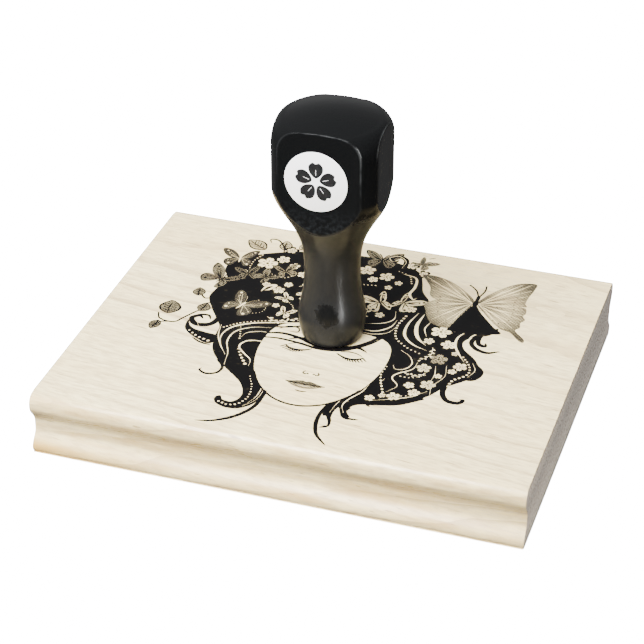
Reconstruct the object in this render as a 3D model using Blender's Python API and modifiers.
"""Wood-mounted rubber stamp with a turned handle that screws on to a tee nut in the block.

Frame: metres, +X along the block's long side, -Y to the front, +Z up. The origin is on the
table under the middle of the stamp, so the printing relief of the rubber die rests at z = 0.
"""

import math

import bmesh
import bpy
from mathutils import Vector

# Block: a board with moulded long sides and sawn ends.
BLOCK_LENGTH = 0.1270
BLOCK_WIDTH = 0.1010
BLOCK_THICKNESS = 0.0168
ROUND_OVER_WIDTH = 0.0025  # top edge of the moulding, across the board
ROUND_OVER_HEIGHT = 0.0026
NOSE_HEIGHT = 0.0008  # upright stretch at the widest line
COVE_DEPTH = 0.0024
COVE_TOP_BELOW_NOSE = 0.0050  # height that the upper flank of the cove takes
COVE_FLOOR = 0.0024
BEAD_RADIUS = 0.0012  # small round along the bottom edge
EDGE_STEPS = 6
HANDLE_X = -0.0008  # the handle's axis on the block
HANDLE_Y = 0.0012

# Handle: one turning. Radii are at the places that their names say, heights from its foot.
HANDLE_HEIGHT = 0.0645
FOOT_RADIUS = 0.0080
FOOT_ROUND = 0.0007
BULGE_RADIUS = 0.00875
BULGE_HEIGHT = 0.0060
NECK_RADIUS = 0.00724
NECK_HEIGHT = 0.0200
KNOB_RADIUS = 0.0156
KNOB_HEIGHT = 0.0450  # where the flare from the neck ends
SHOULDER_RADIUS = 0.0119  # where the low dome meets the shoulder's rounding
SHOULDER_DROP = 0.0060
DOME_RISE = 0.0019
SIDE_FLAT = 0.01380  # from the axis to the flats milled on the knob's left and right
FRONT_FLAT = 0.01135  # from the axis to the flats milled on its front and back
HANDLE_SEGMENTS = 64

# Label on the knob's front flat.
LABEL_RADIUS = 0.0081
LABEL_THICKNESS = 0.00015
LABEL_HEIGHT = 0.0500  # from the handle's foot to its centre
LABEL_SIDE = -0.0006  # off the flat's middle line

# Hanger bolt (1/4 inch) and tee nut.
BOLT_THREAD_RADIUS = 0.00310
BOLT_WOOD_RADIUS = 0.00295
BOLT_COLLAR_RADIUS = 0.0027  # plain stretch between the two threads
BOLT_IN_HANDLE = 0.0200
BOLT_END_HEIGHT = 0.0023  # its lower end above the block's underside
BOLT_COLLAR_HEIGHT = 0.0020
BOLT_TIP = 0.0030
NUT_FLANGE_RADIUS = 0.0095
NUT_FLANGE_THICKNESS = 0.0014
NUT_BARREL_RADIUS = 0.0043
NUT_BARREL_LENGTH = 0.0098
PRONG_COUNT = 4
PRONG_RADIUS = 0.0078  # from the axis to the middle of a prong
PRONG_WIDTH = 0.0026
PRONG_THICKNESS = 0.0011
PRONG_LENGTH = 0.0055

# Printing stack under the block, from the table up.
RELIEF_HEIGHT = 0.0010
DIE_PLATE_THICKNESS = 0.0013
FILM_THICKNESS = 0.00015
CUSHION_THICKNESS = 0.0016
STACK_LENGTH = 0.1120
STACK_WIDTH = 0.0860
STACK_CORNER_RADIUS = 0.0030
RELIEF_LENGTH = 0.0882  # the printing area that the raised outlines are drawn in
RELIEF_WIDTH = 0.0738
RELIEF_UP = 0.0014  # the printing area sits this far behind the plate's middle
# Raised outlines of the relief: (across, up) in shares of half the printing area, each a
# smooth closed line through its points. They are the masses of the drawing, without its lines.
# Between the locks lies a plain oval face, 0.34 half wide at its eye line, -0.20 up.
RELIEF_OUTLINES = {
    "crown": (
        (-0.72, 0.08), (-0.78, 0.38), (-0.62, 0.74), (-0.32, 0.93), (0.02, 0.98), (0.30, 0.88),
        (0.44, 0.52), (0.40, 0.22), (0.30, 0.10), (0.02, 0.02), (-0.36, 0.12),
    ),
    "left_lock": (
        (-0.64, 0.14), (-0.36, 0.14), (-0.34, -0.24), (-0.28, -0.56), (-0.16, -0.80),
        (-0.28, -0.94), (-0.40, -0.86), (-0.30, -0.74), (-0.42, -0.52), (-0.58, -0.36),
        (-0.60, -0.12),
    ),
    "right_lock": (
        (0.34, 0.24), (0.42, 0.40), (0.66, 0.30), (0.70, 0.06), (0.80, -0.12), (0.70, -0.40),
        (0.52, -0.62), (0.34, -0.70), (0.22, -0.94), (0.14, -0.80), (0.28, -0.56), (0.34, -0.20),
    ),
    "butterfly": (
        (0.34, 0.84), (0.58, 0.62), (0.72, 0.86), (0.90, 0.96), (0.92, 0.62), (0.94, 0.38),
        (0.78, 0.20), (0.60, 0.24), (0.42, 0.30),
    ),
    "leaf": ((-0.97, 0.00), (-0.92, 0.08), (-0.86, 0.00), (-0.92, -0.08)),
}
OUTLINE_STEPS = 4

# Clearances.
SEAT_GAP = 0.0003  # solid on solid
BOND_GAP = 0.0001  # between two bonded flat faces
THREAD_GAP = 0.00015  # bolt's thread to nut's bore
BORE_GAP = 0.0003  # bolt to wood, nut's barrel to wood

# Heights that follow.
PLATE_BOTTOM = RELIEF_HEIGHT
PLATE_TOP = PLATE_BOTTOM + DIE_PLATE_THICKNESS
DIE_FILM_BOTTOM = PLATE_TOP + BOND_GAP
CUSHION_BOTTOM = DIE_FILM_BOTTOM + FILM_THICKNESS + BOND_GAP
BLOCK_FILM_BOTTOM = CUSHION_BOTTOM + CUSHION_THICKNESS + BOND_GAP
BLOCK_BOTTOM = BLOCK_FILM_BOTTOM + FILM_THICKNESS + BOND_GAP
BLOCK_TOP = BLOCK_BOTTOM + BLOCK_THICKNESS
HANDLE_BOTTOM = BLOCK_TOP + SEAT_GAP
NUT_BOTTOM = BLOCK_BOTTOM + SEAT_GAP
NUT_SEAT = NUT_BOTTOM + NUT_FLANGE_THICKNESS



def clear_scene():
    for obj in list(bpy.data.objects):
        bpy.data.objects.remove(obj, do_unlink=True)


def new_collection(name):
    collection = bpy.data.collections.new(name)
    bpy.context.scene.collection.children.link(collection)
    return collection


def principled(name, color, roughness, metallic=0.0):
    material = bpy.data.materials.new(name)
    material.use_nodes = True
    shader = material.node_tree.nodes["Principled BSDF"]
    shader.inputs["Base Color"].default_value = (*color, 1.0)
    shader.inputs["Roughness"].default_value = roughness
    shader.inputs["Metallic"].default_value = metallic
    material.diffuse_color = (*color, 1.0)
    return material


def link_mesh(name, mesh, collection, material=None):
    obj = bpy.data.objects.new(name, mesh)
    collection.objects.link(obj)
    if material:
        mesh.materials.append(material)
    return obj


def make_cutter(obj):
    obj.hide_render = True
    obj.display_type = "WIRE"
    return obj


def add_boolean(obj, cutter, operation):
    modifier = obj.modifiers.new(operation.lower(), "BOOLEAN")
    modifier.operation = operation
    modifier.solver = "EXACT"
    modifier.object = cutter


def smooth(mesh, angle=math.radians(30)):
    mesh.shade_smooth()
    mesh.set_sharp_from_angle(angle=angle)


def cylinder(name, radius, bottom, top, collection, material=None, place=(0.0, 0.0), segments=32):
    """An upright cylinder from one height to another, its axis at place."""
    mesh = bpy.data.meshes.new(name)
    made = bmesh.new()
    bmesh.ops.create_cone(
        made, cap_ends=True, segments=segments, radius1=radius, radius2=radius, depth=top - bottom
    )
    made.to_mesh(mesh)
    made.free()
    smooth(mesh)
    obj = link_mesh(name, mesh, collection, material)
    obj.location = (*place, (bottom + top) / 2)
    return obj


def box(name, size, center, collection, material=None):
    mesh = bpy.data.meshes.new(name)
    made = bmesh.new()
    bmesh.ops.create_cube(made, size=1.0)
    bmesh.ops.scale(made, vec=size, verts=made.verts)
    made.to_mesh(mesh)
    made.free()
    obj = link_mesh(name, mesh, collection, material)
    obj.location = center
    return obj


def turned(name, profile, collection, material=None, segments=HANDLE_SEGMENTS):
    """A Screw modifier turns the profile, (radius, height) pairs from top to bottom, about Z."""
    mesh = bpy.data.meshes.new(name)
    made = bmesh.new()
    points = [made.verts.new((radius, 0.0, height)) for radius, height in profile]
    for first, second in zip(points, points[1:]):
        made.edges.new((first, second))
    made.to_mesh(mesh)
    made.free()
    obj = link_mesh(name, mesh, collection, material)
    screw = obj.modifiers.new("turn", "SCREW")
    screw.steps = segments
    screw.render_steps = segments
    screw.use_merge_vertices = True
    screw.merge_threshold = 0.00001
    screw.use_smooth_shade = True
    return obj


def outline_object(name, points, thickness, center_height, collection):
    """A flat outline filled on both sides and extruded, welded into a mesh object."""
    curve = bpy.data.curves.new(name, "CURVE")
    curve.dimensions = "2D"
    curve.fill_mode = "BOTH"
    curve.extrude = thickness / 2
    spline = curve.splines.new("POLY")
    spline.points.add(len(points) - 1)
    for point, (x, y) in zip(spline.points, points):
        point.co = (x, y, 0.0, 1.0)
    spline.use_cyclic_u = True
    guide = bpy.data.objects.new(name + "_outline", curve)
    collection.objects.link(guide)
    guide.location.z = center_height
    bpy.context.view_layer.update()
    evaluated = guide.evaluated_get(bpy.context.evaluated_depsgraph_get())
    mesh = bpy.data.meshes.new_from_object(evaluated)
    made = bmesh.new()
    made.from_mesh(mesh)
    bmesh.ops.remove_doubles(made, verts=made.verts, dist=0.000001)
    bmesh.ops.recalc_face_normals(made, faces=made.faces)
    made.to_mesh(mesh)
    made.free()
    obj = link_mesh(name, mesh, collection)
    obj.matrix_world = guide.matrix_world
    bpy.data.objects.remove(guide)
    bpy.data.curves.remove(curve)
    return obj


def arc(center, radii, start, end, steps):
    """Points of an elliptical arc, its angles in degrees from the first axis."""
    points = []
    for i in range(steps + 1):
        angle = math.radians(start + (end - start) * i / steps)
        points.append(
            (center[0] + radii[0] * math.cos(angle), center[1] + radii[1] * math.sin(angle))
        )
    return points


def flank(start, end, steps):
    """A smooth S from one point to another that is upright at both ends."""
    points = []
    for i in range(1, steps + 1):
        share = i / steps
        rise = (1 - math.cos(math.pi * share)) / 2
        points.append(
            (start[0] + (end[0] - start[0]) * rise, start[1] + (end[1] - start[1]) * share)
        )
    return points


def moulded_side():
    """(across, up) points of the block's moulded side, from the top down. Across is outwards."""
    edge = BLOCK_WIDTH / 2
    top = BLOCK_THICKNESS
    nose_top = top - ROUND_OVER_HEIGHT
    nose_bottom = nose_top - NOSE_HEIGHT
    cove_top = nose_bottom - COVE_TOP_BELOW_NOSE
    cove_bottom = cove_top - COVE_FLOOR
    points = arc(
        (edge - ROUND_OVER_WIDTH, nose_top), (ROUND_OVER_WIDTH, ROUND_OVER_HEIGHT), 90, 0, EDGE_STEPS
    )
    points.append((edge, nose_bottom))
    points += flank(points[-1], (edge - COVE_DEPTH, cove_top), EDGE_STEPS)
    points.append((edge - COVE_DEPTH, cove_bottom))
    bead_top = BEAD_RADIUS * 1.4
    points += flank(points[-1], (edge, bead_top), EDGE_STEPS)
    points += arc((edge - BEAD_RADIUS, BEAD_RADIUS), (BEAD_RADIUS, BEAD_RADIUS), 0, -90, EDGE_STEPS)
    return points


def make_block(parts, cutters):
    side = moulded_side()
    outline = side + [(-across, up) for across, up in reversed(side)]
    block = outline_object("mount_block", outline, BLOCK_LENGTH, 0.0, parts)
    # The outline is drawn across and up, so the board is stood up and its length laid along X.
    for vertex in block.data.vertices:
        across, up, along = vertex.co
        vertex.co = (along, across, up + BLOCK_BOTTOM)
    smooth(block.data)
    block.data.materials.append(principled("maple", (0.82, 0.76, 0.66), 0.55))
    place = (HANDLE_X, HANDLE_Y)
    cuts = (
        ("bolt_hole", BOLT_THREAD_RADIUS + BORE_GAP, BLOCK_BOTTOM - 0.001, BLOCK_TOP + 0.001),
        (
            "barrel_hole",
            NUT_BARREL_RADIUS + BORE_GAP,
            BLOCK_BOTTOM - 0.001,
            NUT_SEAT + NUT_BARREL_LENGTH + BORE_GAP,
        ),
        ("flange_recess", NUT_FLANGE_RADIUS + BORE_GAP, BLOCK_BOTTOM - 0.001, NUT_SEAT + SEAT_GAP),
    )
    for name, radius, bottom, top in cuts:
        cutter = make_cutter(cylinder(name, radius, bottom, top, cutters, place=place, segments=48))
        add_boolean(block, cutter, "DIFFERENCE")
    for i in range(PRONG_COUNT):
        slot = prong("prong_slot_%d" % i, i, BORE_GAP, cutters)
        add_boolean(block, make_cutter(slot), "DIFFERENCE")
    return block


def prong(name, index, grow, collection):
    """One of the nut's prongs, or with grow above 0 the slot that it is pressed into."""
    angle = 2 * math.pi * index / PRONG_COUNT
    bottom = NUT_SEAT - NUT_FLANGE_THICKNESS / 2
    top = NUT_SEAT + PRONG_LENGTH + grow
    size = (PRONG_THICKNESS + 2 * grow, PRONG_WIDTH + 2 * grow, top - bottom)
    center = Vector((PRONG_RADIUS * math.cos(angle), PRONG_RADIUS * math.sin(angle), 0.0))
    center += Vector((HANDLE_X, HANDLE_Y, (bottom + top) / 2))
    made = box(name, size, center, collection)
    made.rotation_euler.z = angle
    return made


def make_tee_nut(parts, cutters):
    inner = BOLT_THREAD_RADIUS + THREAD_GAP
    top = NUT_SEAT + NUT_BARREL_LENGTH
    profile = [
        (inner, top),
        (NUT_BARREL_RADIUS, top),
        (NUT_BARREL_RADIUS, NUT_SEAT),
        (NUT_FLANGE_RADIUS, NUT_SEAT),
        (NUT_FLANGE_RADIUS, NUT_BOTTOM),
        (inner, NUT_BOTTOM),
        (inner, top),
    ]
    steel = principled("zinc_plate", (0.62, 0.63, 0.65), 0.35, 1.0)
    nut = turned("tee_nut", profile, parts, steel, segments=48)
    nut.location = (HANDLE_X, HANDLE_Y, 0.0)
    for i in range(PRONG_COUNT):
        add_boolean(nut, make_cutter(prong("prong_%d" % i, i, 0.0, cutters)), "UNION")
    return nut


def bolt_profile(bottom, grow):
    """The hanger bolt's outer side from top to bottom, or with grow above 0 its hole's."""
    top = HANDLE_BOTTOM + BOLT_IN_HANDLE + grow
    collar_top = HANDLE_BOTTOM + BOLT_COLLAR_HEIGHT
    collar_bottom = HANDLE_BOTTOM - SEAT_GAP - BOLT_COLLAR_HEIGHT / 2
    chamfer = 0.0006
    return [
        (0.0, top),
        (0.0008 + grow, top),
        (BOLT_WOOD_RADIUS + grow, top - BOLT_TIP),
        (BOLT_WOOD_RADIUS + grow, collar_top + chamfer),
        (BOLT_COLLAR_RADIUS + grow, collar_top),
        (BOLT_COLLAR_RADIUS + grow, collar_bottom),
        (BOLT_THREAD_RADIUS + grow, collar_bottom - chamfer),
        (BOLT_THREAD_RADIUS + grow, bottom + chamfer),
        (BOLT_THREAD_RADIUS + grow - chamfer, bottom),
        (0.0, bottom),
    ]


def make_hanger_bolt(parts):
    steel = principled("bolt_steel", (0.55, 0.55, 0.57), 0.3, 1.0)
    bolt = turned("hanger_bolt", bolt_profile(BLOCK_BOTTOM + BOLT_END_HEIGHT, 0.0), parts, steel, 48)
    bolt.location = (HANDLE_X, HANDLE_Y, 0.0)
    return bolt


def eased(start, end, power, steps):
    """(radius, height) points of an S curve from start to end, slower to leave start."""
    points = []
    for i in range(1, steps + 1):
        share = i / steps
        rise = (1 - math.cos(math.pi * share**power)) / 2
        points.append(
            (start[0] + (end[0] - start[0]) * rise, start[1] + (end[1] - start[1]) * share)
        )
    return points


def handle_profile():
    """The handle's outer side from the top of the dome to the foot, heights from the foot."""
    dome_edge = HANDLE_HEIGHT - DOME_RISE
    dome = []
    for i in range(6):
        share = i / 6
        dome.append((SHOULDER_RADIUS * share, HANDLE_HEIGHT - DOME_RISE * share**2))
    shoulder = arc(
        (SHOULDER_RADIUS, dome_edge - SHOULDER_DROP),
        (KNOB_RADIUS - SHOULDER_RADIUS, SHOULDER_DROP),
        80,
        0,
        8,
    )
    neck = (NECK_RADIUS, NECK_HEIGHT)
    flare = eased(neck, (KNOB_RADIUS, KNOB_HEIGHT), 1.36, 14)
    belly = eased(neck, (BULGE_RADIUS, BULGE_HEIGHT), 1.5, 7)
    toe = []
    for i in range(1, 4):
        share = i / 4
        radius = BULGE_RADIUS - (BULGE_RADIUS - FOOT_RADIUS) * share**2
        toe.append((radius, BULGE_HEIGHT + (FOOT_ROUND - BULGE_HEIGHT) * share))
    foot = arc((FOOT_RADIUS - FOOT_ROUND, FOOT_ROUND), (FOOT_ROUND, FOOT_ROUND), 0, -90, 3)
    return dome + shoulder + flare[::-1] + [neck] + belly + toe + foot + [(0.0, 0.0)]


def make_handle(parts, cutters):
    lacquer = principled("black_lacquer", (0.012, 0.013, 0.014), 0.22)
    handle = turned("handle", handle_profile(), parts, lacquer)
    handle.location = (HANDLE_X, HANDLE_Y, HANDLE_BOTTOM)
    stock = box(
        "handle_stock",
        (2 * SIDE_FLAT, 2 * FRONT_FLAT, HANDLE_HEIGHT + 0.01),
        (HANDLE_X, HANDLE_Y, HANDLE_BOTTOM + HANDLE_HEIGHT / 2),
        cutters,
    )
    add_boolean(handle, make_cutter(stock), "INTERSECT")
    socket = turned("bolt_socket", bolt_profile(HANDLE_BOTTOM - 0.002, BORE_GAP), cutters, None, 48)
    socket.location = (HANDLE_X, HANDLE_Y, 0.0)
    add_boolean(handle, make_cutter(socket), "DIFFERENCE")
    return handle


def make_label(parts, handle):
    paper = principled("label_paper", (0.9, 0.9, 0.9), 0.5)
    half = LABEL_THICKNESS / 2
    label = cylinder("label_disc", LABEL_RADIUS, -half, half, parts, paper, segments=64)
    label.parent = handle
    label.location = (LABEL_SIDE, -FRONT_FLAT - BOND_GAP - half, LABEL_HEIGHT)
    label.rotation_euler.x = math.pi / 2
    return label


def rounded_rectangle(length, width, radius, steps=6):
    points = []
    corners = ((1, 1, 0), (-1, 1, 90), (-1, -1, 180), (1, -1, 270))
    for side_x, side_y, start in corners:
        center = (side_x * (length / 2 - radius), side_y * (width / 2 - radius))
        points += arc(center, (radius, radius), start, start + 90, steps)
    return points


def make_layer(name, bottom, thickness, parts, material):
    outline = rounded_rectangle(STACK_LENGTH, STACK_WIDTH, STACK_CORNER_RADIUS)
    layer = outline_object(name, outline, thickness, bottom + thickness / 2, parts)
    layer.data.materials.append(material)
    return layer


def smooth_closed(points, steps):
    """A closed Catmull-Rom line through the points."""
    count = len(points)
    line = []
    for i in range(count):
        a, b, c, d = (points[(i + k - 1) % count] for k in range(4))
        for step in range(steps):
            t = step / steps
            place = []
            for p, q, r, s in zip(a, b, c, d):
                bend = 2 * p - 5 * q + 4 * r - s
                turn = 3 * q - p - 3 * r + s
                place.append(q + ((r - p) * t + bend * t * t + turn * t**3) / 2)
            line.append(tuple(place))
    return line


def make_die(parts, cutters):
    rubber = principled("rubber", (0.45, 0.08, 0.06), 0.6)
    die = make_layer("rubber_die", PLATE_BOTTOM, DIE_PLATE_THICKNESS, parts, rubber)
    thickness = RELIEF_HEIGHT + DIE_PLATE_THICKNESS / 2  # reaches half way into the plate
    for name, shares in RELIEF_OUTLINES.items():
        line = [(x * RELIEF_LENGTH / 2, RELIEF_UP + y * RELIEF_WIDTH / 2) for x, y in shares]
        raised = outline_object(
            "relief_" + name, smooth_closed(line, OUTLINE_STEPS), thickness, thickness / 2, cutters
        )
        add_boolean(die, make_cutter(raised), "UNION")
    return die


def main():
    clear_scene()
    parts = new_collection("rubber_stamp")
    cutters = new_collection("cutters")
    make_block(parts, cutters)
    make_tee_nut(parts, cutters)
    make_hanger_bolt(parts)
    handle = make_handle(parts, cutters)
    make_label(parts, handle)
    film = principled("adhesive_film", (0.85, 0.82, 0.7), 0.4)
    make_layer("block_adhesive", BLOCK_FILM_BOTTOM, FILM_THICKNESS, parts, film)
    foam = principled("foam", (0.75, 0.75, 0.74), 0.9)
    make_layer("cushion", CUSHION_BOTTOM, CUSHION_THICKNESS, parts, foam)
    make_layer("die_adhesive", DIE_FILM_BOTTOM, FILM_THICKNESS, parts, film)
    make_die(parts, cutters)


main()
